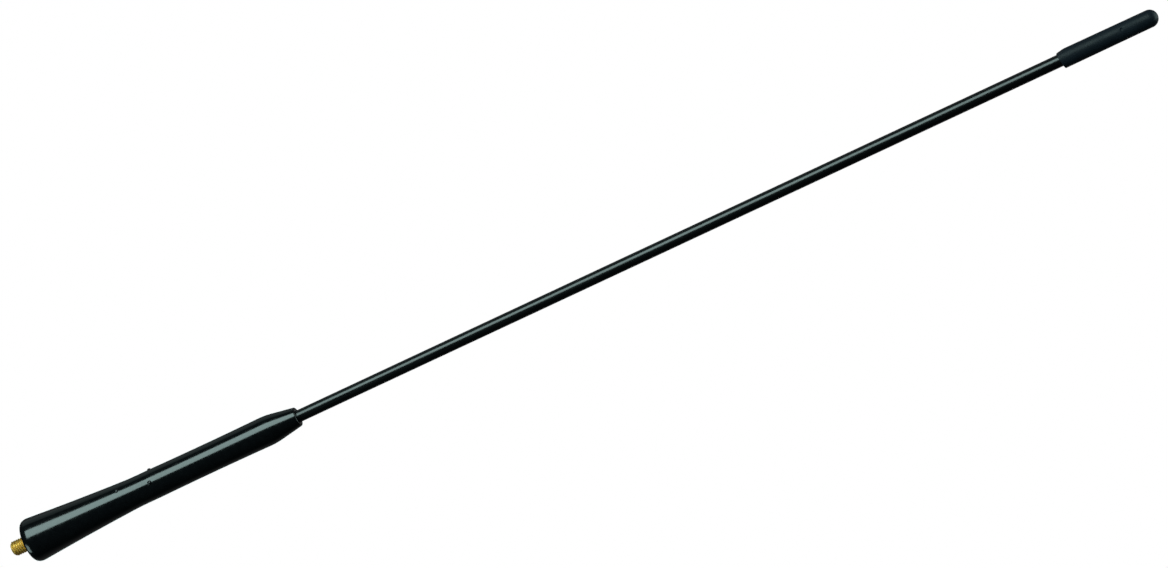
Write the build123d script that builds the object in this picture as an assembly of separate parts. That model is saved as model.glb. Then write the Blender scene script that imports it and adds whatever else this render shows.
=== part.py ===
"""Screw-in car roof antenna mast: brass end fitting, moulded sleeve, wound rod and tip cap.

Millimetres. +Z runs up the mast and the origin is the centre of its seat on the car.
"""

import os
from math import cos, hypot, radians, sin, sqrt, tan

from build123d import *

# Whole mast
MAST_HEIGHT = 394.0  # seat to the top of the tip cap

# End fitting, turned from hexagon brass
THREAD_DIAMETER = 5.0  # crest of the M5 thread
STUD_LENGTH = 6.0
STUD_CHAMFER = 0.6
HEX_ACROSS_FLATS = 7.0
HEX_HEIGHT = 4.0
HEX_CHAMFER_ANGLE = 30.0
BARREL_DIAMETER = 6.4
BARREL_LENGTH = 18.0
GROOVE_COUNT = 2  # grooves that the moulded sleeve keys into
GROOVE_PITCH = 4.5
GROOVE_WIDTH = 1.6
GROOVE_DEPTH = 0.6
SOCKET_DEPTH = 14.0  # for the foot of the core
WIRE_POCKET_DEPTH = 5.0  # wider mouth of the socket, for the foot of the winding
BOND_GAP = 0.05  # glue line between core and socket

# Rod: glass-fibre core, copper strip wound on it, black jacket
CORE_DIAMETER = 2.8
STRIP_THICKNESS = 0.2
STRIP_WIDTH = 0.6
WINDING_TURNS = 14
WINDING_GAP = 0.03  # strip to core and strip to jacket
WINDING_FOOT_GAP = 0.2  # winding to the floor of its pocket
WINDING_TOP_GAP = 4.0  # winding to the top of the rod
JACKET_WALL = 0.28

# Base sleeve
SLEEVE_HEIGHT = 98.0
FLARE_DIAMETER = 15.05  # at the seat, before the rim is rounded
FLARE_HEIGHT = 39.0
FLARE_HOLLOW = 0.17  # how far the flare's side bows in at half height
FLARE_BLEND = 80.0  # radius between flare and grip
RIM_ROUND = 1.6
RECESS_DEPTH = 0.8  # round the hexagon, on the underside
RECESS_CLEARANCE = 0.6
GRIP_DIAMETER = 9.7
GRIP_WAIST = 0.14  # depth of the long shallow waist of the grip
WAIST_OFFSET = 8.0  # plain length of grip between flare and waist
NOSE_HEIGHT = 10.0
NOSE_WALL = 1.18  # at the top end of the nose
NOSE_CHAMFER = 0.35
SHOULDER_BLEND = 24.0  # radius between grip and nose
PIP_RADIUS = 0.8  # moulding pips
PIP_RISE = 0.38
GRIP_PIP_OFFSET = 7.0  # above the flare
GRIP_PIP_ANGLES = (-11.0, -96.0)  # about Z, from -Y
FLARE_PIP_OFFSET = 4.3  # below the top of the flare
FLARE_PIP_ANGLE = -36.0

# Tip cap
CAP_LENGTH = 32.3
CAP_SOCKET_DEPTH = 22.0
CAP_WALL = 0.92  # at the mouth
CAP_DRAFT = 0.12  # how much the wall loses by the dome
CAP_MOUTH_SLANT = 9.0  # the mouth is cut lower on the -X side
LIP_BEVEL_LENGTH = 3.0  # long bevel on the low side of the mouth
LIP_BEVEL_ANGLE = -75.0  # about Z, from -Y
VENT_DROP = 11.6  # below the top of the cap
VENT_ANGLE = -14.0
VENT_RADIUS = 0.8
VENT_DEPTH = 0.25

# Worked out from the sizes above
hex_corner_radius = HEX_ACROSS_FLATS / sqrt(3)
barrel_top = HEX_HEIGHT + BARREL_LENGTH
core_radius = CORE_DIAMETER / 2
strip_radius = core_radius + WINDING_GAP + STRIP_THICKNESS / 2
strip_corner_radius = hypot(strip_radius + STRIP_THICKNESS / 2, STRIP_WIDTH / 2)
jacket_bore_radius = strip_corner_radius + WINDING_GAP
rod_radius = jacket_bore_radius + JACKET_WALL
cap_mouth = MAST_HEIGHT - CAP_LENGTH
rod_top = cap_mouth + CAP_SOCKET_DEPTH
flare_radius = FLARE_DIAMETER / 2
grip_radius = GRIP_DIAMETER / 2
nose_radius = rod_radius + NOSE_WALL
cap_radius = rod_radius + CAP_WALL
dome_radius = cap_radius - CAP_DRAFT

UPWARD = (Align.CENTER, Align.CENTER, Align.MIN)


def column(radius, bottom, top):
    """A cylinder on the mast's axis between two heights."""
    return Pos(0, 0, bottom) * Cylinder(radius, top - bottom, align=UPWARD)


def turned(outline):
    """Revolve an outline, drawn as radius and height, about the mast's axis."""
    return revolve(Plane.XZ * outline, Axis.Z)


def corner_at(outline, place):
    """The corner of an outline nearest to a radius and height."""
    return outline.vertices().sort_by_distance(place)[0]


def ball(radius, angle, distance, height):
    """A ball off the axis. The angle turns about Z from -Y, and is negative towards -X."""
    turn = radians(angle)
    return Pos(distance * sin(turn), -distance * cos(turn), height) * Sphere(radius)


def fitting_body():
    """The end fitting's outside: stud, hexagon and grooved barrel."""
    stud = column(THREAD_DIAMETER / 2, -STUD_LENGTH, 0)
    stud = chamfer(stud.edges().sort_by(Axis.Z)[0], STUD_CHAMFER)
    hexagon = extrude(RegularPolygon(HEX_ACROSS_FLATS / 2, 6, major_radius=False), HEX_HEIGHT)
    corner_width = hex_corner_radius - HEX_ACROSS_FLATS / 2
    corner_height = corner_width * tan(radians(HEX_CHAMFER_ANGLE))
    round_bar = column(hex_corner_radius, 0, HEX_HEIGHT)
    round_bar = chamfer(round_bar.edges().sort_by(Axis.Z)[0], corner_height, corner_width)
    barrel = column(BARREL_DIAMETER / 2, HEX_HEIGHT, barrel_top)
    middle = HEX_HEIGHT + BARREL_LENGTH / 2
    for index in range(GROOVE_COUNT):
        centre = middle + (index - (GROOVE_COUNT - 1) / 2) * GROOVE_PITCH
        bottom, top = centre - GROOVE_WIDTH / 2, centre + GROOVE_WIDTH / 2
        barrel -= column(BARREL_DIAMETER, bottom, top) - column(
            BARREL_DIAMETER / 2 - GROOVE_DEPTH, bottom, top
        )
    return stud + (hexagon & round_bar) + barrel


def end_fitting():
    """The brass fitting with its blind socket for core and winding."""
    socket = column(core_radius + BOND_GAP, barrel_top - SOCKET_DEPTH, barrel_top)
    pocket = column(jacket_bore_radius, barrel_top - WIRE_POCKET_DEPTH, barrel_top)
    return fitting_body() - socket - pocket


def base_sleeve():
    """The moulding over the fitting and the foot of the rod."""
    shoulder = SLEEVE_HEIGHT - NOSE_HEIGHT
    waist_start = FLARE_HEIGHT + WAIST_OFFSET
    waist_middle = (waist_start + shoulder) / 2
    flare_top, shoulder_corner = (grip_radius, FLARE_HEIGHT), (grip_radius, shoulder)
    nose_end = (nose_radius, SLEEVE_HEIGHT)
    flare_middle = ((flare_radius + grip_radius) / 2 - FLARE_HOLLOW, FLARE_HEIGHT / 2)
    foot = Line((0, 0), (flare_radius, 0))
    flare = ThreePointArc((flare_radius, 0), flare_middle, flare_top)
    grip = Line(flare_top, (grip_radius, waist_start))
    waist = ThreePointArc(
        (grip_radius, waist_start), (grip_radius - GRIP_WAIST, waist_middle), shoulder_corner
    )
    nose = Polyline(shoulder_corner, nose_end, (0, SLEEVE_HEIGHT), (0, 0))
    outline = make_face(foot + flare + grip + waist + nose)
    outline = fillet(corner_at(outline, (flare_radius, 0)), RIM_ROUND)
    outline = fillet(corner_at(outline, flare_top), FLARE_BLEND)
    outline = fillet(corner_at(outline, shoulder_corner), SHOULDER_BLEND)
    outline = chamfer(corner_at(outline, nose_end), NOSE_CHAMFER)
    sleeve = turned(outline)
    sunk = PIP_RISE - PIP_RADIUS
    for angle in GRIP_PIP_ANGLES:
        sleeve += ball(PIP_RADIUS, angle, grip_radius + sunk, FLARE_HEIGHT + GRIP_PIP_OFFSET)
    share = FLARE_PIP_OFFSET / FLARE_HEIGHT
    flare_at_pip = grip_radius + (flare_radius - grip_radius) * share - 4 * FLARE_HOLLOW * share * (1 - share)
    sleeve += ball(PIP_RADIUS, FLARE_PIP_ANGLE, flare_at_pip + sunk, FLARE_HEIGHT - FLARE_PIP_OFFSET)
    sleeve -= column(hex_corner_radius + RECESS_CLEARANCE, 0, RECESS_DEPTH)
    return sleeve - fitting_body() - column(rod_radius, barrel_top, SLEEVE_HEIGHT)


def rod_core():
    """The glass-fibre rod, standing on the floor of the fitting's socket."""
    return column(core_radius, barrel_top - SOCKET_DEPTH, rod_top)


def radiator_winding():
    """The copper strip, one open helix from the fitting's pocket to near the top of the rod."""
    start = barrel_top - WIRE_POCKET_DEPTH + WINDING_FOOT_GAP + STRIP_WIDTH / 2
    height = rod_top - WINDING_TOP_GAP - start
    path = Helix(height / WINDING_TURNS, height, strip_radius)
    section = Plane(path @ 0, x_dir=(1, 0, 0), z_dir=path % 0) * Rectangle(STRIP_THICKNESS, STRIP_WIDTH)
    return Pos(0, 0, start) * sweep(section, path, is_frenet=True)


def rod_jacket():
    """The black tube over core and winding, from the fitting to the top of the rod."""
    return column(rod_radius, barrel_top, rod_top) - column(jacket_bore_radius, barrel_top, rod_top)


def tip_cap():
    """The rubber cap: a drafted tube with a domed end, a slanted and bevelled mouth and a vent dimple."""
    dome_centre = MAST_HEIGHT - dome_radius
    slope = tan(radians(CAP_MOUTH_SLANT))
    skirt = cap_mouth - cap_radius * slope
    half = sqrt(0.5) * dome_radius
    side = Polyline((0, skirt), (cap_radius, skirt), (cap_radius, cap_mouth), (dome_radius, dome_centre))
    dome = ThreePointArc((dome_radius, dome_centre), (half, dome_centre + half), (0, MAST_HEIGHT))
    cap = turned(make_face(side + dome + Line((0, MAST_HEIGHT), (0, skirt))))
    mouth = Plane((0, 0, cap_mouth), x_dir=(1, 0, slope), z_dir=(-slope, 0, 1))
    cap = split(cap, bisect_by=mouth, keep=Keep.TOP)
    turn = radians(LIP_BEVEL_ANGLE)
    outward = Vector(sin(turn), -cos(turn), 0)
    lip = outward * rod_radius + Vector(0, 0, cap_mouth + slope * rod_radius * sin(turn))
    steep = outward * LIP_BEVEL_LENGTH - Vector(0, 0, CAP_WALL)
    bevel = Plane(lip, x_dir=Vector(cos(turn), sin(turn), 0), z_dir=steep)
    cap = split(cap, bisect_by=bevel, keep=Keep.BOTTOM)
    vent_height = MAST_HEIGHT - VENT_DROP
    wall_share = (dome_centre - vent_height) / (dome_centre - cap_mouth)
    vent_distance = dome_radius + CAP_DRAFT * wall_share + VENT_RADIUS - VENT_DEPTH
    cap -= ball(VENT_RADIUS, VENT_ANGLE, vent_distance, vent_height)
    return cap - column(rod_radius, skirt, rod_top)


PIECES = (end_fitting, base_sleeve, rod_core, radiator_winding, rod_jacket, tip_cap)

os.makedirs("parts", exist_ok=True)
for piece in PIECES:
    export_step(piece(), f"parts/{piece.__name__}.step")
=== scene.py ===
"""Looks of a screw-in car antenna mast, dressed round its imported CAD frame.

Sizes in the classes are millimetres in the mast's own frame: +Z runs up the mast, -Y is the side that the
camera sees, and the origin is the centre of the seat. An angle round the mast is measured from -Y and is
negative towards -X. Meshes, lamps and the camera are placed in metres.
"""

from __future__ import annotations

import logging
from abc import ABC, abstractmethod
from collections.abc import Sequence
from dataclasses import dataclass
from enum import Enum
from math import atan, cos, degrees, hypot, pi, radians, sin, sqrt, tan
from typing import Any, ClassVar

import bpy
import numpy as np
from mathutils import Matrix, Vector

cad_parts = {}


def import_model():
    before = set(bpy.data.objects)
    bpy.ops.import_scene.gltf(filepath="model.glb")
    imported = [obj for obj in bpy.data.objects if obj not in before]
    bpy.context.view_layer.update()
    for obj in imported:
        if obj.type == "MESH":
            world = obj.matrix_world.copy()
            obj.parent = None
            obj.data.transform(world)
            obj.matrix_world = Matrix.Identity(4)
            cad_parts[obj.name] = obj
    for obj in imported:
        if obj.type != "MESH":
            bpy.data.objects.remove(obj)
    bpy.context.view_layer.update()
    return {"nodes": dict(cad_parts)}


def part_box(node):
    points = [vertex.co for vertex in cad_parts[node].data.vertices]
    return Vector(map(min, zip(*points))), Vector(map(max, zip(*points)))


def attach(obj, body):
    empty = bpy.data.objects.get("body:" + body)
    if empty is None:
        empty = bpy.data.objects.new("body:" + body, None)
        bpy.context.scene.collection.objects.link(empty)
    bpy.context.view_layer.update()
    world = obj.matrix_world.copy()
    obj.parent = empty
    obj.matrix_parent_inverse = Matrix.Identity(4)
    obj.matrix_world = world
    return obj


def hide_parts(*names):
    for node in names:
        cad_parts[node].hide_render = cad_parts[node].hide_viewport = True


Array = np.ndarray
Point = tuple[float, float]

MM = 0.001  # metres in a millimetre
BODY = "root"  # the mast is one rigid body
SHARP_EDGE = radians(32)  # edges that turn by more stay crisp
HEX_SIDE = radians(60)  # angle that one side of a hexagon takes up
POLE_RING = 0.3  # radius of the ring next to a pole, in millimetres
NOISE_LOW, NOISE_HIGH = 0.3, 0.7  # most values of a noise pattern lie between these
LOG = logging.getLogger("antenna_mast")


class Slot(Enum):
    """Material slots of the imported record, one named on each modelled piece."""

    BRASS = "turned_brass"
    MOULDING = "gloss_black_moulding"
    TUBE = "satin_black_tube"
    RUBBER = "black_rubber"


class Ends(Enum):
    """How the first and the last row of a skin close."""

    LOOP = "the last row joins the first"
    POLES = "each end closes in a point on the axis"


# Profiles and grids


def run(corners: Sequence[Point], step: float) -> Array:
    """Points on straight lines from corner to corner, about a step apart.

    Each line is start + share * (end - start) with even shares. The last corner is left out, because the next
    stretch of the profile starts there.

    Args:
        corners: Radius and height of each corner in turn.
        step: Distance between points.

    Returns:
        Array of radius and height, one row per point.
    """
    stretches = []
    for start, end in zip(corners, corners[1:]):
        count = max(1, round(hypot(end[0] - start[0], end[1] - start[1]) / step))
        share = np.arange(count)[:, None] / count
        stretches.append(np.array(start) * (1 - share) + np.array(end) * share)
    return np.vstack(stretches)


def bend(centre: Point, radius: float, first: float, last: float, count: int) -> Array:
    """Points on the arc centre + radius * (cos a, sin a), with a even from first to last, last left out.

    Args:
        centre: Radius and height of the arc's centre.
        radius: Radius of the arc.
        first: Angle of the first point, in degrees.
        last: Angle of the end, in degrees.
        count: Number of points.

    Returns:
        Array of radius and height, one row per point.
    """
    angle = np.radians(np.linspace(first, last, count, endpoint=False))
    return np.array(centre) + radius * np.stack([np.cos(angle), np.sin(angle)], axis=-1)


def graded(
    first: float, last: float, step: float, places: Sequence[float], reach: float, fine: float
) -> Array:
    """Rising values from first to last, a step apart, and a fine step apart within reach of each place.

    Args:
        first: First value.
        last: Last value.
        step: Plain spacing.
        places: Values that need fine spacing round them.
        reach: Half length of a fine stretch.
        fine: Fine spacing.

    Returns:
        The values, with none nearer to the one before than half a fine step.
    """
    plain = np.linspace(first, last, round((last - first) / step) + 1)
    stretches = [np.arange(place - reach, place + reach, fine) for place in places]
    for place in places:
        plain = plain[np.abs(plain - place) > reach + fine / 2]
    values = np.sort(np.concatenate([plain, *stretches]))
    return values[np.concatenate([[True], np.diff(values) > fine / 2])]


def around(step: float, places: Sequence[float] = (), reach: float = 0.0, fine: float = 1.0) -> Array:
    """Angles once round the mast, in radians, with fine stretches as graded makes them.

    Args:
        step: Plain spacing in degrees.
        places: Angles that need fine spacing, in degrees.
        reach: Half length of a fine stretch, in degrees.
        fine: Fine spacing in degrees.

    Returns:
        The angles, from half a turn back to just under half a turn on.
    """
    return np.radians(graded(-180.0, 180.0, step, places, reach, fine)[:-1])


@dataclass
class Skin:
    """A closed surface on a grid: rows follow a profile and columns go once round the mast.

    The point in row i and column j is (r sin t, -r cos t, h), with t = turn[j], r = radius[i, j] and
    h = height[i, j]. Rows climb the outside, so that faces point outwards.
    """

    name: str
    turn: Array
    radius: Array
    height: Array
    ends: Ends
    # share of the thread's depth at each point, kept on the mesh for painted shade in the thread's roots
    root_shade: Array | None = None

    def points(self) -> Array:
        """All grid points in metres, row by row, and after them the two poles where there are any.

        Returns:
            Array of x, y and z, one row per point.
        """
        across, ahead = self.radius * np.sin(self.turn), -self.radius * np.cos(self.turn)
        points = np.stack([across, ahead, self.height], axis=-1).reshape(-1, 3)
        if self.ends is Ends.POLES:
            poles = np.zeros((2, 3))
            poles[:, 2] = self.height[0].mean(), self.height[-1].mean()
            points = np.vstack([points, poles])
        return points * MM

    def faces(self) -> list[list[int]]:
        """Quads between neighbouring rows and columns, and a fan of triangles at each pole.

        Returns:
            Point numbers of each face, counter-clockwise seen from outside.
        """
        rows, columns = self.radius.shape
        here = np.arange(rows * columns).reshape(rows, columns)
        right = np.roll(here, -1, axis=1)
        quads = np.stack([here, right, np.roll(right, -1, axis=0), np.roll(here, -1, axis=0)], axis=-1)
        if self.ends is Ends.LOOP:
            return quads.reshape(-1, 4).tolist()
        first, last = np.full(columns, rows * columns), np.full(columns, rows * columns + 1)
        fans = np.vstack([
            np.stack([first, right[0], here[0]], axis=-1),
            np.stack([here[-1], right[-1], last], axis=-1),
        ])
        return quads[:-1].reshape(-1, 4).tolist() + fans.tolist()

    def to_object(self, material: bpy.types.Material) -> bpy.types.Object:
        """Make the smooth shaded mesh object, with crisp edges where the surface turns sharply.

        Args:
            material: Material of the whole skin.

        Returns:
            The new object, linked to the scene.
        """
        mesh = bpy.data.meshes.new(self.name)
        mesh.from_pydata(self.points(), [], self.faces())
        mesh.polygons.foreach_set("use_smooth", np.ones(len(mesh.polygons), dtype=bool))
        mesh.set_sharp_from_angle(angle=SHARP_EDGE)
        if self.root_shade is not None:
            values = np.zeros(len(mesh.vertices), dtype=np.float32)
            values[: self.root_shade.size] = self.root_shade.ravel()
            mesh.attributes.new("root_shade", "FLOAT", "POINT").data.foreach_set("value", values)
        mesh.materials.append(material)
        made = bpy.data.objects.new(self.name, mesh)
        bpy.context.scene.collection.objects.link(made)
        return made


@dataclass(frozen=True)
class Pip:
    """A small ball-shaped bump on a turned surface, or a dimple where its rise is negative."""

    turn: float
    height: float
    radius: float
    rise: float

    def relief(self, turn: Array, radius: Array, height: Array) -> Array:
        """How far the surface stands out: sqrt(R^2 - d^2) - (R - rise), where that is above zero.

        d is the distance over the surface from the pip's middle.

        Args:
            turn: Angle of each column, in radians.
            radius: Radius of the bare surface at each grid point.
            height: Height of each grid point.

        Returns:
            The relief at each grid point, below zero in a dimple.
        """
        away = np.angle(np.exp(1j * (turn - radians(self.turn))))
        distance = np.hypot(radius * away, height - self.height)
        ball = np.sqrt(np.clip(self.radius**2 - distance**2, 0, None))
        return np.sign(self.rise) * np.clip(ball - self.radius + abs(self.rise), 0, None)


# Finishes


def linear(code: str) -> tuple[float, float, float, float]:
    """Turn an sRGB hex colour into linear red, green, blue and a full alpha.

    Args:
        code: Colour such as #1a1c1e.

    Returns:
        The four channels.
    """
    channels = np.array([int(code[place : place + 2], 16) for place in (1, 3, 5)]) / 255
    low, high = channels / 12.92, ((channels + 0.055) / 1.055) ** 2.4
    red, green, blue = np.where(channels <= 0.04045, low, high).tolist()
    return red, green, blue, 1.0


def add_node(
    tree: bpy.types.NodeTree, kind: str, inputs: dict[str | int, Any] | None = None, **settings: Any
) -> bpy.types.Node:
    """Add a node, set its properties, and fill or link its inputs.

    Args:
        tree: Tree that gets the node.
        kind: Type name of the node.
        inputs: A value, or an output socket to link, for each input by name or number.
        settings: Properties of the node.

    Returns:
        The new node.
    """
    node = tree.nodes.new(kind)
    for name, value in settings.items():
        setattr(node, name, value)
    for key, value in (inputs or {}).items():
        if isinstance(value, bpy.types.NodeSocket):
            tree.links.new(value, node.inputs[key])
        else:
            node.inputs[key].default_value = value
    return node


def spread(roughness: tuple[float, float]) -> dict[str | int, Any]:
    """Map Range inputs that carry the usual values of a noise to a range of roughness.

    Args:
        roughness: Lowest and highest roughness.

    Returns:
        A value for each input by name.
    """
    low, high = roughness
    return {"From Min": NOISE_LOW, "From Max": NOISE_HIGH, "To Min": low, "To Max": high}


@dataclass(frozen=True)
class Noise:
    """A noise pattern in the object's own space, with the sizes of its features in millimetres."""

    across: float
    along: float
    detail: float

    def value(self, tree: bpy.types.NodeTree) -> bpy.types.NodeSocket:
        """Add the pattern, stretched along the mast where it is longer than wide.

        Args:
            tree: Tree of the material.

        Returns:
            The socket of its value.
        """
        place = add_node(tree, "ShaderNodeTexCoord").outputs["Object"]
        across, along = 1 / (self.across * MM), 1 / (self.along * MM)
        drawn = add_node(tree, "ShaderNodeMapping", {"Vector": place, "Scale": (across, across, along)})
        inputs = {"Vector": drawn.outputs["Vector"], "Scale": 1.0, "Detail": self.detail}
        return add_node(tree, "ShaderNodeTexNoise", inputs).outputs["Fac"]


class Finish(ABC):
    """A finish that makes one material with a Principled shader."""

    name: ClassVar[str]

    @abstractmethod
    def sockets(self, tree: bpy.types.NodeTree) -> dict[str | int, Any]:
        """Values and links for the shader's sockets.

        Args:
            tree: Tree of the material, which gets the pattern's nodes.

        Returns:
            A value or an output socket for each socket by name.
        """

    def material(self) -> bpy.types.Material:
        """Make the material.

        Returns:
            The new material.
        """
        material = bpy.data.materials.new(self.name)
        material.use_nodes = True
        tree = material.node_tree
        tree.nodes.clear()
        shader = add_node(tree, "ShaderNodeBsdfPrincipled", self.sockets(tree))
        add_node(tree, "ShaderNodeOutputMaterial", {"Surface": shader.outputs["BSDF"]})
        return material


@dataclass(frozen=True)
class MottledFinish(Finish):
    """A finish whose two colours and roughness follow one pattern, and whose relief follows another."""

    colour: str
    worn: str
    roughness: tuple[float, float]
    pattern: Noise
    relief: Noise
    depth: float  # of the relief
    ior: float = 1.5
    specular: float = 0.5

    def sockets(self, tree: bpy.types.NodeTree) -> dict[str | int, Any]:
        """Colour and roughness by the pattern, and bump by the relief.

        Args:
            tree: Tree of the material.

        Returns:
            A value or an output socket for each socket by name.
        """
        pattern = self.pattern.value(tree)
        relief = pattern if self.relief == self.pattern else self.relief.value(tree)
        colours = {0: pattern, 6: linear(self.colour), 7: linear(self.worn)}
        rough = {"Value": pattern, **spread(self.roughness)}
        bump = {"Height": relief, "Distance": self.depth * MM}
        return {
            "Base Color": add_node(tree, "ShaderNodeMix", colours, data_type="RGBA").outputs[2],
            "Roughness": add_node(tree, "ShaderNodeMapRange", rough).outputs["Result"],
            "IOR": self.ior,
            "Specular IOR Level": self.specular,
            "Normal": add_node(tree, "ShaderNodeBump", bump).outputs["Normal"],
        }


@dataclass(frozen=True)
class GlossMoulding(MottledFinish):
    """Black ABS, injection moulded in a polished mould."""

    # Gives the eye a deep black with a sharp-edged sheen that wavers where the skin shrank as it cooled.
    name: ClassVar[str] = "black_abs_polished_moulding"
    colour: str = "#08090b"
    worn: str = "#0e1012"
    roughness: tuple[float, float] = (0.13, 0.19)
    pattern: Noise = Noise(across=1.6, along=1.6, detail=3.0)  # drifts of fine haze from handling
    relief: Noise = Noise(across=6.0, along=6.0, detail=1.0)  # soft waves of the cooled skin
    depth: float = 0.006
    ior: float = 1.52


@dataclass(frozen=True)
class ExtrudedTube(MottledFinish):
    """Black polyolefin tube, extruded and shrunk on the rod."""

    # Gives the eye a soft satin line of light down the rod, with faint streaks that the die drew along it.
    name: ClassVar[str] = "black_polyolefin_extruded_tube"
    colour: str = "#060708"
    worn: str = "#0e1012"
    roughness: tuple[float, float] = (0.22, 0.3)
    pattern: Noise = Noise(across=0.25, along=12.0, detail=2.0)  # die lines are finer, drawn wide to show
    relief: Noise = pattern
    depth: float = 0.004


@dataclass(frozen=True)
class MouldedRubber(MottledFinish):
    """Black synthetic rubber, moulded in a blasted mould."""

    # Gives the eye a dull charcoal with a fine grain, a little paler where the rubber has bloomed.
    name: ClassVar[str] = "black_rubber_matte_moulding"
    colour: str = "#0f161d"
    worn: str = "#171f28"
    roughness: tuple[float, float] = (0.46, 0.56)
    pattern: Noise = Noise(across=4.0, along=4.0, detail=4.0)  # patches of bloom
    relief: Noise = Noise(across=0.22, along=0.22, detail=2.0)  # blasted grain is finer, drawn coarse to show
    depth: float = 0.02
    specular: float = 0.2


@dataclass(frozen=True)
class TurnedBrass(Finish):
    """Free-cutting brass, turned and threaded on a lathe."""

    # Gives the eye a warm yellow metal with fine rings from the tool, deeper in the roots of the thread,
    # where a darker yellow is painted shade.
    name: ClassVar[str] = "brass_turned_and_threaded"
    colour: str = "#fadb86"
    dulled: str = "#f0cc70"
    # painted shade: the darker yellow mixed into the thread's roots
    root: str = "#deb25a"
    roughness: tuple[float, float] = (0.48, 0.6)
    patches: Noise = Noise(across=1.5, along=1.5, detail=3.0)
    ring_pitch: float = 0.16  # the tool's feed marks, drawn a little coarse to show
    ring_depth: float = 0.006

    def sockets(self, tree: bpy.types.NodeTree) -> dict[str | int, Any]:
        """Yellow metal with dulled patches, darker thread roots as painted shade, and tool rings as bump.

        The rings are a noise over radius and height alone, so that they run round the axis.

        Args:
            tree: Tree of the material.

        Returns:
            A value or an output socket for each socket by name.
        """
        place = add_node(tree, "ShaderNodeTexCoord").outputs["Object"]
        flatten = {"Vector": place, "Scale": (1.0, 1.0, 0.0)}
        flat = add_node(tree, "ShaderNodeMapping", flatten).outputs["Vector"]
        radius = add_node(tree, "ShaderNodeVectorMath", {0: flat}, operation="LENGTH").outputs["Value"]
        height = add_node(tree, "ShaderNodeSeparateXYZ", {"Vector": place}).outputs["Z"]
        section = add_node(tree, "ShaderNodeCombineXYZ", {"X": radius, "Z": height}).outputs["Vector"]
        feed = {"Vector": section, "Scale": 1 / (self.ring_pitch * MM), "Detail": 2.0}
        rings = add_node(tree, "ShaderNodeTexNoise", feed).outputs["Fac"]
        yellows = {0: self.patches.value(tree), 6: linear(self.colour), 7: linear(self.dulled)}
        bright = add_node(tree, "ShaderNodeMix", yellows, data_type="RGBA").outputs[2]
        # share of the thread's depth, which mixes in the root colour as painted shade
        cut = add_node(tree, "ShaderNodeAttribute", attribute_name="root_shade").outputs["Fac"]
        colours = {0: cut, 6: bright, 7: linear(self.root)}
        rough = {"Value": rings, **spread(self.roughness)}
        bump = {"Height": rings, "Distance": self.ring_depth * MM}
        return {
            "Base Color": add_node(tree, "ShaderNodeMix", colours, data_type="RGBA").outputs[2],
            "Metallic": 1.0,
            "Roughness": add_node(tree, "ShaderNodeMapRange", rough).outputs["Result"],
            "Normal": add_node(tree, "ShaderNodeBump", bump).outputs["Normal"],
        }


@dataclass(frozen=True)
class PultrudedGlass(Finish):
    """Glass fibre in polyester resin, pultruded as a rod."""

    # Gives the eye a pale straw rod with fine fibres that all run along it.
    name: ClassVar[str] = "glass_fibre_pultruded_rod"
    colour: str = "#d8cfa6"
    resin: str = "#b9a878"
    roughness: float = 0.42
    fibres: Noise = Noise(across=0.12, along=20.0, detail=2.0)  # fibres are finer, drawn this wide to show
    fibre_depth: float = 0.01

    def sockets(self, tree: bpy.types.NodeTree) -> dict[str | int, Any]:
        """Straw with long fibres in colour and bump.

        Args:
            tree: Tree of the material.

        Returns:
            A value or an output socket for each socket by name.
        """
        fibres = self.fibres.value(tree)
        straws = {0: fibres, 6: linear(self.colour), 7: linear(self.resin)}
        bump = {"Height": fibres, "Distance": self.fibre_depth * MM}
        return {
            "Base Color": add_node(tree, "ShaderNodeMix", straws, data_type="RGBA").outputs[2],
            "Roughness": self.roughness,
            "IOR": 1.54,
            "Normal": add_node(tree, "ShaderNodeBump", bump).outputs["Normal"],
        }


@dataclass(frozen=True)
class RolledCopper(Finish):
    """Bare copper strip, rolled and wound hard on the rod."""

    # Gives the eye a pink-brown metal, darker where fingers and air have tarnished it.
    name: ClassVar[str] = "copper_rolled_strip"
    colour: str = "#d08a64"
    tarnish: str = "#8c5138"
    roughness: tuple[float, float] = (0.25, 0.5)  # at the ends of the noise's whole range
    patches: Noise = Noise(across=2.5, along=2.5, detail=3.0)

    def sockets(self, tree: bpy.types.NodeTree) -> dict[str | int, Any]:
        """Copper with tarnished patches in colour and roughness.

        Args:
            tree: Tree of the material.

        Returns:
            A value or an output socket for each socket by name.
        """
        patches = self.patches.value(tree)
        coppers = {0: patches, 6: linear(self.colour), 7: linear(self.tarnish)}
        rough = {"Value": patches, "To Min": self.roughness[0], "To Max": self.roughness[1]}
        return {
            "Base Color": add_node(tree, "ShaderNodeMix", coppers, data_type="RGBA").outputs[2],
            "Metallic": 1.0,
            "Roughness": add_node(tree, "ShaderNodeMapRange", rough).outputs["Result"],
        }


# Pieces of the mast


@dataclass(frozen=True)
class MastFrame:
    """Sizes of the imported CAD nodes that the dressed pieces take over."""

    stud_end: float
    hex_flats: float
    fitting_top: float
    sleeve_top: float
    rod_radius: float
    rod_top: float
    cap_top: float

    @classmethod
    def measured(cls) -> MastFrame:
        """Read the sizes from the boxes of the CAD nodes.

        Returns:
            The sizes in millimetres.
        """
        fitting_low, fitting_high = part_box("end_fitting")
        rod_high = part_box("rod_jacket")[1]
        return cls(
            stud_end=fitting_low.z / MM,
            hex_flats=(fitting_high.y - fitting_low.y) / MM,
            fitting_top=fitting_high.z / MM,
            sleeve_top=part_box("base_sleeve")[1].z / MM,
            rod_radius=rod_high.x / MM,
            rod_top=rod_high.z / MM,
            cap_top=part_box("tip_cap")[1].z / MM,
        )

    def hex_corner(self) -> float:
        """Radius of the fitting's hexagon at its corners."""
        return self.hex_flats / 2 / cos(HEX_SIDE / 2)


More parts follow.
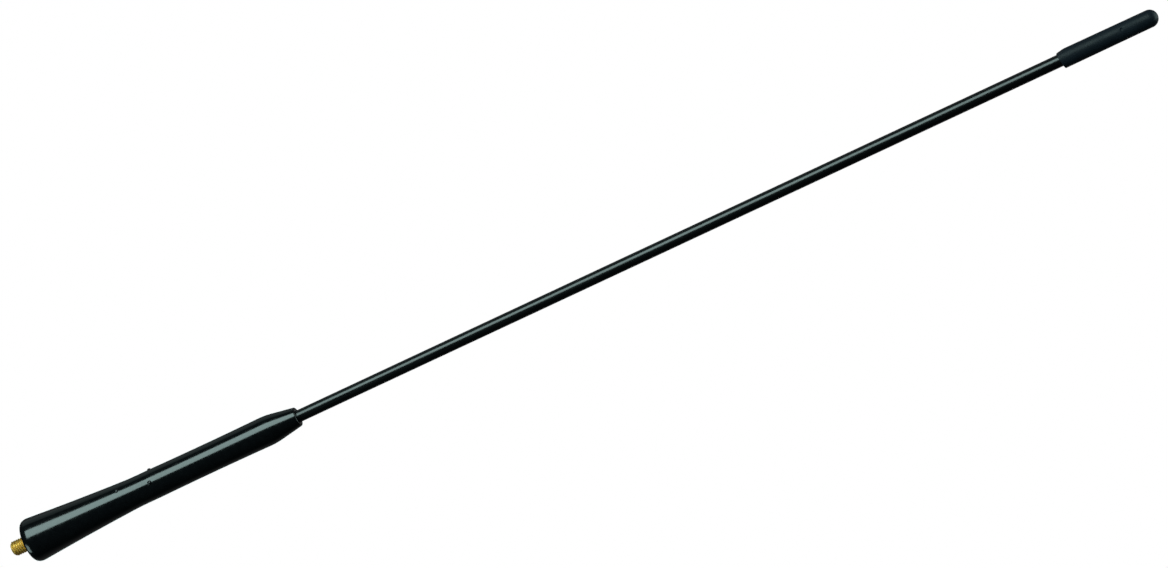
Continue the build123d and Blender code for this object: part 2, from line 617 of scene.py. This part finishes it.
@dataclass
class MastPiece(ABC):
    """A piece of the mast: a modelled skin that stands for one CAD node."""

    frame: MastFrame
    node: ClassVar[str]
    slot: ClassVar[Slot]
    finish: ClassVar[Finish]

    @abstractmethod
    def skin(self) -> Skin:
        """Work out the piece's surface.

        Returns:
            The skin, named for the piece.
        """

    def build(self) -> bpy.types.Object:
        """Make the piece, dress it, and put it in the place of its CAD node.

        Returns:
            The finished object.
        """
        made = self.skin().to_object(self.finish.material())
        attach(made, BODY)
        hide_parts(self.node)
        LOG.info("%s: %d points, %d faces", made.name, len(made.data.vertices), len(made.data.polygons))
        return made


@dataclass
class EndFitting(MastPiece):
    """The brass fitting: threaded stud, hexagon, grooved barrel and the socket of the rod."""

    node: ClassVar[str] = "end_fitting"
    slot: ClassVar[Slot] = Slot.BRASS
    finish: ClassVar[Finish] = TurnedBrass()
    crest_radius: float = 2.5  # M5 thread
    thread_pitch: float = 0.8
    thread_depth: float = 0.49
    runout_gap: float = 0.21  # plain shank under the hexagon
    runout: float = 0.7  # and the length over which the thread fades in
    chamfer: float = 0.6
    hex_height: float = 4.0
    hex_chamfer: float = 30.0
    barrel_radius: float = 3.2
    grooves: tuple[float, ...] = (10.75, 15.25)  # heights of the middles
    groove_width: float = 1.6
    groove_depth: float = 0.6
    socket_radius: float = 1.45
    socket_depth: float = 14.0
    pocket_radius: float = 1.68
    pocket_depth: float = 5.0

    def hexagon(self, turn: Array) -> Array:
        """Radius of the hexagon: half the flats over the cosine of the angle from a flat's middle."""
        from_flat = np.mod(turn - HEX_SIDE / 2, HEX_SIDE) - HEX_SIDE / 2
        return self.frame.hex_flats / 2 / np.cos(from_flat)

    def barrel(self) -> list[Point]:
        """Corners of the grooved barrel, from the top of the hexagon to the top of the fitting.

        Returns:
            Radius and height of each corner in turn.
        """
        corners = [(self.barrel_radius, self.hex_height)]
        floor = self.barrel_radius - self.groove_depth
        for middle in self.grooves:
            low, high = middle - self.groove_width / 2, middle + self.groove_width / 2
            corners += [(self.barrel_radius, low), (floor, low), (floor, high), (self.barrel_radius, high)]
        return corners + [(self.barrel_radius, self.frame.fitting_top)]

    def thread(self, turn: Array, height: Array) -> Array:
        """Depth of the thread: sqrt(3) times the distance from the crest's flat, up to the root's flat.

        The crest rises by one pitch a turn, so the distance is that of height / pitch - turn / 2 pi from its
        nearest half, less half the crest's flat, which is an eighth of the pitch wide. The depth fades to
        nothing at the run-out.

        Args:
            turn: Angle of each column.
            height: Height of each row, as a column vector.

        Returns:
            The depth at each grid point.
        """
        phase = np.mod(height / self.thread_pitch - turn / (2 * pi), 1.0)
        from_crest = np.abs(phase - 0.5) * self.thread_pitch - self.thread_pitch / 16
        depth = np.clip(from_crest * sqrt(3), 0, self.thread_depth)
        return depth * np.clip((-height - self.runout_gap) / self.runout, 0, 1)

    def skin(self) -> Skin:
        """Turn the profile, clip it by the hexagon and cut the thread into the stud.

        Returns:
            The skin of the fitting, with the thread's depth as a point attribute that darkens the roots as
            painted shade.
        """
        end, top = self.frame.stud_end, self.frame.fitting_top
        half_flats, corner = self.frame.hex_flats / 2, self.frame.hex_corner()
        corner_height = (corner - half_flats) * tan(radians(self.hex_chamfer))
        crest, chamfer, hex_top = self.crest_radius, self.chamfer, self.hex_height
        pocket_floor, socket_floor = top - self.pocket_depth, top - self.socket_depth
        bore = [
            (self.barrel_radius, top),
            (self.pocket_radius, top),
            (self.pocket_radius, pocket_floor),
            (self.socket_radius, pocket_floor),
            (self.socket_radius, socket_floor),
            (POLE_RING, socket_floor),
        ]
        profile = np.vstack([
            run([(POLE_RING, end), (crest - chamfer, end)], step=0.3),
            run([(crest - chamfer, end), (crest, end + chamfer)], step=0.05),
            run([(crest, end + chamfer), (crest, 0.0)], step=0.04),
            run([(crest, 0.0), (half_flats, 0.0)], step=0.2),
            run([(half_flats, 0.0), (corner, corner_height)], step=0.05),
            run([(corner, corner_height), (corner, hex_top)], step=0.4),
            run([(corner, hex_top), (self.barrel_radius, hex_top)], step=1.0),
            run(self.barrel(), step=0.8),
            run(bore, step=1.0),
        ])
        turn = around(step=2.5)
        height = np.repeat(profile[:, 1:], len(turn), axis=1)
        radius = np.minimum(profile[:, :1], self.hexagon(turn))
        depth = np.where(height < 0, self.thread(turn, height), 0.0)
        threaded = np.minimum(radius, np.where(height < 0, crest - depth, radius))
        # the depth's share goes on as the point attribute for painted shade in the roots
        return Skin("end_fitting_skin", turn, threaded, height, Ends.POLES, root_shade=depth / self.thread_depth)


@dataclass
class BaseSleeve(MastPiece):
    """The gloss black moulding: flared foot, waisted grip, tapered nose and three moulding pips."""

    node: ClassVar[str] = "base_sleeve"
    slot: ClassVar[Slot] = Slot.MOULDING
    finish: ClassVar[Finish] = GlossMoulding()
    flare_radius: float = 7.525  # at the seat, before the rim is rounded
    flare_height: float = 39.0
    flare_hollow: float = 0.17
    grip_radius: float = 4.85
    waist_depth: float = 0.14
    waist_offset: float = 8.0
    nose_height: float = 10.0
    nose_wall: float = 1.18
    blend: float = 2.1  # half length of the soft corners between flare, grip and nose
    rim_width: float = 1.1  # the rim is an upright quarter ellipse
    rim_height: float = 2.2
    nose_round: float = 0.4
    bore_round: float = 0.15
    recess_clearance: float = 0.6
    recess_depth: float = 0.8
    pips: tuple[Pip, ...] = (
        Pip(turn=-11.0, height=46.0, radius=0.8, rise=0.38),
        Pip(turn=-96.0, height=46.0, radius=0.8, rise=0.38),
        Pip(turn=-36.0, height=34.7, radius=0.8, rise=0.38),
    )

    def side(self, height: Array) -> Array:
        """Radius of the outside without pips.

        The sharp side is a straight flare less a parabola, a straight grip less a parabola from the waist's
        start to the shoulder, and a straight nose. Its mean over a blend's length each way turns the corners
        between them into parabolas.

        Args:
            height: Heights to work it out at.

        Returns:
            The radius at each height.
        """
        shoulder = self.frame.sleeve_top - self.nose_height
        waist_start = self.flare_height + self.waist_offset
        level = np.linspace(-self.blend, self.frame.sleeve_top + self.blend, num=6000)
        up = np.minimum(level / self.flare_height, 1.0)
        flare = (self.flare_radius - self.grip_radius) * (1 - up) - 4 * self.flare_hollow * up * (1 - up)
        along = np.clip((level - waist_start) / (shoulder - waist_start), 0, 1)
        waist = 4 * self.waist_depth * along * (1 - along)
        nose = self.nose_slope() * np.clip(level - shoulder, 0, None)
        sharp = self.grip_radius + flare - waist - nose
        area = np.concatenate([[0.0], np.cumsum((sharp[1:] + sharp[:-1]) / 2 * np.diff(level))])
        above = np.interp(height + self.blend, level, area)
        below = np.interp(height - self.blend, level, area)
        return (above - below) / (2 * self.blend)

    def nose_radius(self) -> float:
        """Radius of the nose at its top end, before it is rounded."""
        return self.frame.rod_radius + self.nose_wall

    def nose_slope(self) -> float:
        """How much the nose's radius loses for each millimetre up."""
        return (self.grip_radius - self.nose_radius()) / self.nose_height

    def rim(self) -> Array:
        """Profile of the rim: (seat edge + width * cos a, height + height * sin a), up to the flare's foot.

        It ends where the ellipse leans as the flare does, so where tan a is the flare's lean times height
        over width.

        Returns:
            Array of radius and height, one row per point, the meeting point last.
        """
        lean = (self.flare_radius - self.grip_radius + 4 * self.flare_hollow) / self.flare_height
        meeting = atan(lean * self.rim_height / self.rim_width)
        angle = np.linspace(-pi / 2, meeting, num=18)
        level = self.rim_height * (1 + np.sin(angle))
        seat_edge = self.flare_radius - lean * level[-1] - self.rim_width * cos(meeting)
        return np.stack([seat_edge + self.rim_width * np.cos(angle), level], axis=-1)

    def outside(self) -> Array:
        """Profile from the seat round the rim, up the side and round the end of the nose.

        Returns:
            Array of radius and height, one row per point.
        """
        tip, top = self.nose_round, self.frame.sleeve_top
        rim = self.rim()
        slope = self.nose_slope()
        tip_centre = self.nose_radius() + slope * tip - tip * hypot(1, slope)
        last = top - tip + tip * sin(atan(slope))
        pip_levels = sorted({pip.height for pip in self.pips})
        level = graded(rim[-1, 1], last, step=1.0, places=pip_levels, reach=0.9, fine=0.07)
        tip_start = degrees(atan(slope)) + 6  # past the last row of the side
        bore_edge = self.frame.rod_radius + self.bore_round
        return np.vstack([
            rim[:-1],
            np.stack([self.side(level), level], axis=-1),
            bend((tip_centre, top - tip), tip, first=tip_start, last=90, count=10),
            run([(tip_centre, top), (bore_edge, top)], step=0.2),
            bend((bore_edge, top - self.bore_round), self.bore_round, first=90, last=180, count=5),
        ])

    def inside(self, fitting: EndFitting) -> Array:
        """Profile down the bore, over the fitting's barrel and hexagon, and round the recess to the seat.

        Args:
            fitting: The fitting that the sleeve was moulded on.

        Returns:
            Array of radius and height, one row per point.
        """
        rod, top = self.frame.rod_radius, self.frame.sleeve_top
        corner, hex_top = self.frame.hex_corner(), fitting.hex_height
        recess = corner + self.recess_clearance
        underside = [
            (corner, hex_top),
            (corner, self.recess_depth),
            (recess, self.recess_depth),
            (recess, 0.0),
            (self.rim()[0, 0], 0.0),
        ]
        return np.vstack([
            run([(rod, top - self.bore_round), (rod, self.frame.fitting_top)], step=8.0),
            run([(rod, self.frame.fitting_top), *reversed(fitting.barrel())], step=0.8),
            run([(fitting.barrel_radius, hex_top), (corner, hex_top)], step=1.0),
            run(underside, step=0.4),
        ])

    def skin(self) -> Skin:
        """Turn the profile, press the hexagon into the underside and raise the pips.

        Returns:
            The skin of the sleeve.
        """
        fitting = EndFitting(self.frame)
        outside = self.outside()
        profile = np.vstack([outside, self.inside(fitting)])
        turn = around(step=3.0, places=sorted(pip.turn for pip in self.pips), reach=11.0, fine=0.8)
        height = np.repeat(profile[:, 1:], len(turn), axis=1)
        pressed = np.isclose(profile[:, :1], self.frame.hex_corner())
        radius = np.where(pressed, fitting.hexagon(turn), profile[:, :1])
        shows = (np.arange(len(profile)) < len(outside))[:, None]
        relief = sum(pip.relief(turn, radius, height) for pip in self.pips)
        return Skin("base_sleeve_skin", turn, radius + np.where(shows, relief, 0.0), height, Ends.LOOP)


@dataclass
class RodJacket(MastPiece):
    """The thin black tube over the wound rod."""

    node: ClassVar[str] = "rod_jacket"
    slot: ClassVar[Slot] = Slot.TUBE
    finish: ClassVar[Finish] = ExtrudedTube()
    wall: float = 0.28

    def skin(self) -> Skin:
        """Turn a long thin rectangle: out along the foot, up the outside, in along the top and down the bore.

        Returns:
            The skin of the tube.
        """
        outer, inner = self.frame.rod_radius, self.frame.rod_radius - self.wall
        low, high = self.frame.fitting_top, self.frame.rod_top
        profile = run([(inner, low), (outer, low), (outer, high), (inner, high), (inner, low)], step=2.5)
        turn = around(step=3.75)
        height = np.repeat(profile[:, 1:], len(turn), axis=1)
        radius = np.repeat(profile[:, :1], len(turn), axis=1)
        return Skin("rod_jacket_skin", turn, radius, height, Ends.LOOP)


@dataclass
class TipCap(MastPiece):
    """The rubber cap: drafted tube, domed end, slanted mouth with one bevelled side, and a vent dimple."""

    node: ClassVar[str] = "tip_cap"
    slot: ClassVar[Slot] = Slot.RUBBER
    finish: ClassVar[Finish] = MouldedRubber()
    length: float = 32.3
    wall: float = 0.92
    draft: float = 0.12
    mouth_slant: float = 9.0
    bevel_length: float = 3.0
    bevel_turn: float = -75.0
    fit_gap: float = 0.015  # keeps the bore just off the rod
    lip_round: float = 0.16
    edge_round: float = 0.05  # softness of the bevel's edge
    bevel_facing: float = 0.2  # cosine from the bevel's middle below which the bevel is left out
    lip_share: float = 0.16  # share of the side that has close rows, for lip and bevel
    vent: Pip = Pip(turn=-14.0, height=382.4, radius=0.8, rise=-0.25)

    def bore(self) -> float:
        """Radius of the bore."""
        return self.frame.rod_radius + self.fit_gap

    def outer(self) -> float:
        """Radius of the outside at the mouth."""
        return self.frame.rod_radius + self.wall

    def mouth(self) -> float:
        """Height of the mouth on the axis."""
        return self.frame.cap_top - self.length

    def dome(self) -> float:
        """Radius of the domed end."""
        return self.outer() - self.draft

    def dome_centre(self) -> float:
        """Height of the dome's centre."""
        return self.frame.cap_top - self.dome()

    def mouth_level(self, turn: float | Array, radius: float | Array) -> float | Array:
        """Height of the slanted mouth: that on the axis plus radius * sin turn * tan slant."""
        return self.mouth() + tan(radians(self.mouth_slant)) * radius * np.sin(turn)

    def wall_radius(self, turn: Array, height: Array) -> Array:
        """Radius of the outside below the dome: the drafted side or the bevel, whichever is nearer the axis.

        The bevel is a plane, so its radius is its distance from the axis over the cosine of the angle from
        its middle. The lower of the two is taken softly, as -k log(exp(-a / k) + exp(-b / k)).

        Args:
            turn: Angle of each column.
            height: Height at each grid point.

        Returns:
            The radius at each grid point.
        """
        side = self.outer() - self.draft * (height - self.mouth()) / (self.dome_centre() - self.mouth())
        lip = self.mouth_level(radians(self.bevel_turn), self.frame.rod_radius)
        facing = np.cos(turn - radians(self.bevel_turn))
        distance = self.frame.rod_radius + (height - lip) * self.wall / self.bevel_length
        plane = distance / np.maximum(facing, self.bevel_facing)
        bevel = np.where(facing > self.bevel_facing, plane, 4 * self.outer())
        return -self.edge_round * np.logaddexp(-side / self.edge_round, -bevel / self.edge_round)

    def bore_rows(self, turn: Array) -> tuple[Array, Array]:
        """Out along the bore's flat floor, then straight down the bore to the slanted mouth.

        Args:
            turn: Angle of each column.

        Returns:
            Radius and height of each grid point.
        """
        floor_radius = np.linspace(POLE_RING, self.bore(), num=6)[:-1, None] * np.ones(len(turn))
        share = np.linspace(0, 1, num=12, endpoint=False)[:, None]
        height = self.frame.rod_top * (1 - share) + self.mouth_level(turn, self.bore()) * share
        radius = np.vstack([floor_radius, np.full_like(height, self.bore())])
        return radius, np.vstack([np.full_like(floor_radius, self.frame.rod_top), height])

    def lip_rows(self, turn: Array) -> tuple[Array, Array]:
        """Out along the slanted face of the mouth, as far as the rounded edge of the lip.

        Args:
            turn: Angle of each column.

        Returns:
            Radius and height of each grid point.
        """
        edge = self.wall_radius(turn, self.mouth_level(turn, self.outer())) - self.lip_round
        share = np.linspace(0, 1, num=5, endpoint=False)[:, None]
        radius = self.bore() * (1 - share) + np.maximum(edge, self.bore() + self.fit_gap) * share
        return radius, self.mouth_level(turn, radius)

    def side_rows(self, turn: Array) -> tuple[Array, Array]:
        """Up the side from the lip to the dome, less a quarter circle at the lip and the vent's dimple.

        Args:
            turn: Angle of each column.

        Returns:
            Radius and height of each grid point.
        """
        lip, rise = self.mouth_level(turn, self.outer()), self.dome_centre() - self.mouth()
        vent_share = (self.vent.height - self.mouth()) / rise
        close = np.linspace(0, self.lip_share, num=40, endpoint=False)
        plain = graded(self.lip_share, 1.0, step=0.03, places=[vent_share], reach=0.03, fine=0.0028)[:-1]
        share = np.concatenate([close, plain])[:, None]
        height = lip + (self.dome_centre() - lip) * share
        rounding = np.clip(1 - (height - lip) / self.lip_round, 0, 1)
        radius = self.wall_radius(turn, height) - self.lip_round * (1 - np.sqrt(1 - rounding**2))
        radius = np.maximum(radius, self.bore() + self.fit_gap)
        return radius + self.vent.relief(turn, radius, height), height

    def dome_rows(self, turn: Array) -> tuple[Array, Array]:
        """Over the dome: (radius * cos a, centre + radius * sin a), nearly to the pole.

        Args:
            turn: Angle of each column.

        Returns:
            Radius and height of each grid point.
        """
        angle = np.radians(np.linspace(0, 88, num=24))[:, None]
        level = np.ones(len(turn))
        return self.dome() * np.cos(angle) * level, (self.dome_centre() + self.dome() * np.sin(angle)) * level

    def skin(self) -> Skin:
        """Carry the profile round: along the bore's floor, down the bore, over the lip, up side and dome.

        Returns:
            The skin of the cap.
        """
        turn = around(step=3.0, places=[self.vent.turn], reach=16.0, fine=1.2)
        rows = [self.bore_rows(turn), self.lip_rows(turn), self.side_rows(turn), self.dome_rows(turn)]
        radius, height = (np.vstack(parts) for parts in zip(*rows))
        return Skin("tip_cap_skin", turn, radius, height, Ends.POLES)


@dataclass
class WoundCore:
    """The glass-fibre core and its copper winding, which keep their CAD meshes inside the jacket."""

    nodes: dict[str, bpy.types.Object]
    finishes: ClassVar[dict[str, Finish]] = {
        "rod_core": PultrudedGlass(),
        "radiator_winding": RolledCopper(),
    }

    def dress(self) -> None:
        """Give each node its finish."""
        for node, finish in self.finishes.items():
            mesh = self.nodes[node].data
            mesh.materials.clear()
            mesh.materials.append(finish.material())
            LOG.info("%s: dressed in %s", node, finish.name)


# Studio


@dataclass(frozen=True)
class PhotoCamera:
    """A long lens on the tip side of the mast, tilted so that the mast climbs to the right."""

    frame_width: float = 1168.0  # pixels
    focal: float = 4184.6  # pixels
    sensor: float = 36.0
    distance: float = 1300.0
    elevation: float = 11.0
    climb: float = 25.04  # of the mast in the picture, above level
    target: tuple[float, float, float] = (0.31, 0.0, 199.15)

    def build(self) -> None:
        """Place the camera so that the mast's +Z shows at the climb's angle."""
        camera = bpy.data.cameras.new("photo_camera")
        camera.sensor_width = self.sensor
        camera.lens = self.focal / self.frame_width * self.sensor
        camera.clip_end = 200.0
        lift, climb = radians(self.elevation), radians(self.climb)
        back = Vector((0.0, -cos(lift), sin(lift)))
        level, upright = Vector((1.0, 0.0, 0.0)), Vector((0.0, sin(lift), cos(lift)))
        right = upright * cos(climb) + level * sin(climb)
        up = upright * sin(climb) - level * cos(climb)
        place = Matrix((right, up, back)).transposed().to_4x4()
        place.translation = (Vector(self.target) + back * self.distance) * MM
        made = bpy.data.objects.new("photo_camera", camera)
        made.matrix_world = place
        bpy.context.scene.collection.objects.link(made)
        bpy.context.scene.camera = made


@dataclass(frozen=True)
class SoftBox:
    """A large lamp that faces a point on the mast's axis."""

    name: str
    turn: float
    rise: float  # above level, in degrees
    aim: float  # height of the point it faces
    width: float
    length: float
    radiance: float
    distance: float = 1000.0
    colour: tuple[float, float, float] = (0.72, 1.0, 0.97)  # linear, a little cool

    def build(self) -> None:
        """Place the lamp, out of the camera's sight."""
        lamp = bpy.data.lights.new(self.name, "AREA")
        lamp.shape = "RECTANGLE"
        lamp.size, lamp.size_y = self.width * MM, self.length * MM
        lamp.energy = self.radiance * pi * lamp.size * lamp.size_y
        lamp.color = self.colour
        turn, rise = radians(self.turn), radians(self.rise)
        away = Vector((sin(turn) * cos(rise), -cos(turn) * cos(rise), sin(rise)))
        made = bpy.data.objects.new(self.name, lamp)
        made.location = (away * self.distance + Vector((0.0, 0.0, self.aim))) * MM
        made.rotation_euler = away.to_track_quat("Z", "Y").to_euler()
        made.visible_camera = False
        bpy.context.scene.collection.objects.link(made)


@dataclass(frozen=True)
class Studio:
    """A white room with a dark surround, and soft boxes on several sides of the mast."""

    fill: float = 0.6  # light of the room on matte surfaces
    floor_depth: float = 2000.0
    floor_size: float = 80000.0
    floor_colour: str = "#f4f4f2"
    surround_radius: float = 1600.0
    surround_dark: float = 0.0  # share of the radius along +Y where the dark starts to thin
    surround_thin: float = 0.7  # and where it is thinnest
    surround_clear: float = 0.1  # share of the room that shows through the thinnest part
    cloth_colour: str = "#020202"
    mast_middle: float = 194.0
    boxes: tuple[SoftBox, ...] = (
        SoftBox("key_soft_box", turn=-41.0, rise=0.0, aim=20.0, width=690.0, length=800.0, radiance=6.1),
        SoftBox("side_soft_box", turn=-112.0, rise=0.0, aim=-60.0, width=650.0, length=900.0, radiance=0.18),
        SoftBox("back_soft_box", turn=180.0, rise=0.0, aim=-300.0, width=520.0, length=900.0, radiance=2.0),
        SoftBox("top_soft_box", turn=180.0, rise=80.0, aim=194.0, width=800.0, length=800.0, radiance=3.0),
        SoftBox(
            "low_soft_box",
            turn=40.0,
            rise=-52.0,
            aim=0.0,
            width=420.0,
            length=400.0,
            radiance=3.4,
            distance=700.0,
        ),
    )

    def seen(self, tree: bpy.types.NodeTree) -> bpy.types.NodeSocket:
        """A socket that is 1 for rays of the camera, of reflections and through clear things, and else 0.

        Args:
            tree: Tree that gets the nodes.

        Returns:
            The socket.
        """
        path = add_node(tree, "ShaderNodeLightPath").outputs
        direct = {0: path["Is Camera Ray"], 1: path["Is Glossy Ray"]}
        shown = add_node(tree, "ShaderNodeMath", direct, operation="ADD").outputs[0]
        through = {0: shown, 1: path["Is Transmission Ray"]}
        return add_node(tree, "ShaderNodeMath", through, operation="ADD", use_clamp=True).outputs[0]

    def room(self) -> None:
        """White world: full white where it is seen, and the fill's strength where it only lights."""
        world = bpy.data.worlds.new("white_room")
        bpy.context.scene.world = world
        world.use_nodes = True
        tree = world.node_tree
        tree.nodes.clear()
        strength = add_node(tree, "ShaderNodeMath", {0: self.seen(tree), 1: self.fill}, operation="MAXIMUM")
        shell = add_node(
            tree, "ShaderNodeBackground", {"Color": (1.0, 1.0, 1.0, 1.0), "Strength": strength.outputs[0]}
        )
        add_node(tree, "ShaderNodeOutputWorld", {"Surface": shell.outputs["Background"]})

    def floor(self) -> None:
        """Pale matte floor far below the mast, white where it is seen."""
        half = self.floor_size / 2
        corners = np.array([(-half, -half), (half, -half), (half, half), (-half, half)])
        points = np.column_stack([corners, np.full(4, -self.floor_depth)]) * MM
        mesh = bpy.data.meshes.new("studio_floor")
        mesh.from_pydata(points, [], [[0, 1, 2, 3]])
        material = bpy.data.materials.new("pale_painted_floor")
        material.use_nodes = True
        tree = material.node_tree
        tree.nodes.clear()
        matte = add_node(tree, "ShaderNodeBsdfDiffuse", {"Color": linear(self.floor_colour)})
        white = add_node(tree, "ShaderNodeEmission", {"Color": (1.0, 1.0, 1.0, 1.0), "Strength": 1.0})
        looks = {0: self.seen(tree), 1: matte.outputs["BSDF"], 2: white.outputs["Emission"]}
        mixed = add_node(tree, "ShaderNodeMixShader", looks)
        add_node(tree, "ShaderNodeOutputMaterial", {"Surface": mixed.outputs["Shader"]})
        mesh.materials.append(material)
        made = bpy.data.objects.new("studio_floor", mesh)
        bpy.context.scene.collection.objects.link(made)

    def surround(self) -> None:
        """Dark cloth all round the mast: a sphere that thins a little behind it.

        The camera doesn't see it, but the mast reflects it and is shaded by it.
        """
        material = bpy.data.materials.new("black_studio_cloth")
        material.use_nodes = True
        tree = material.node_tree
        tree.nodes.clear()
        place = add_node(tree, "ShaderNodeTexCoord").outputs["Object"]
        depth = add_node(tree, "ShaderNodeSeparateXYZ", {"Vector": place}).outputs["Y"]
        radius = self.surround_radius * MM
        thin = add_node(
            tree,
            "ShaderNodeMapRange",
            {
                "Value": depth,
                "From Min": self.surround_dark * radius,
                "From Max": self.surround_thin * radius,
                "To Max": self.surround_clear,
            },
        ).outputs["Result"]
        cloth = add_node(tree, "ShaderNodeBsdfDiffuse", {"Color": linear(self.cloth_colour)})
        gone = add_node(tree, "ShaderNodeBsdfTransparent")
        mixed = add_node(
            tree, "ShaderNodeMixShader", {0: thin, 1: cloth.outputs["BSDF"], 2: gone.outputs["BSDF"]}
        )
        add_node(tree, "ShaderNodeOutputMaterial", {"Surface": mixed.outputs["Shader"]})
        turn = around(step=5.0)
        rise = np.radians(np.linspace(-87, 87, num=48))[:, None]
        level = np.ones(len(turn))
        skin = Skin(
            "studio_surround",
            turn,
            self.surround_radius * np.cos(rise) * level,
            (self.mast_middle + self.surround_radius * np.sin(rise)) * level,
            Ends.POLES,
        )
        made = skin.to_object(material)
        made.visible_camera = False

    def build(self) -> None:
        """Set up room, floor, surround and soft boxes."""
        bpy.context.scene.view_settings.view_transform = "Standard"
        self.room()
        self.floor()
        self.surround()
        for box in self.boxes:
            box.build()


def main() -> None:
    """Dress the mast piece by piece from the sizes of the CAD nodes, and set up the studio and the camera."""
    logging.basicConfig(level=logging.INFO, format="%(message)s")
    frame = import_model()
    sizes = MastFrame.measured()
    for piece in (EndFitting(sizes), BaseSleeve(sizes), RodJacket(sizes), TipCap(sizes)):
        piece.build()
    WoundCore(frame["nodes"]).dress()
    Studio().build()
    PhotoCamera().build()


if __name__ == "__main__":
    main()
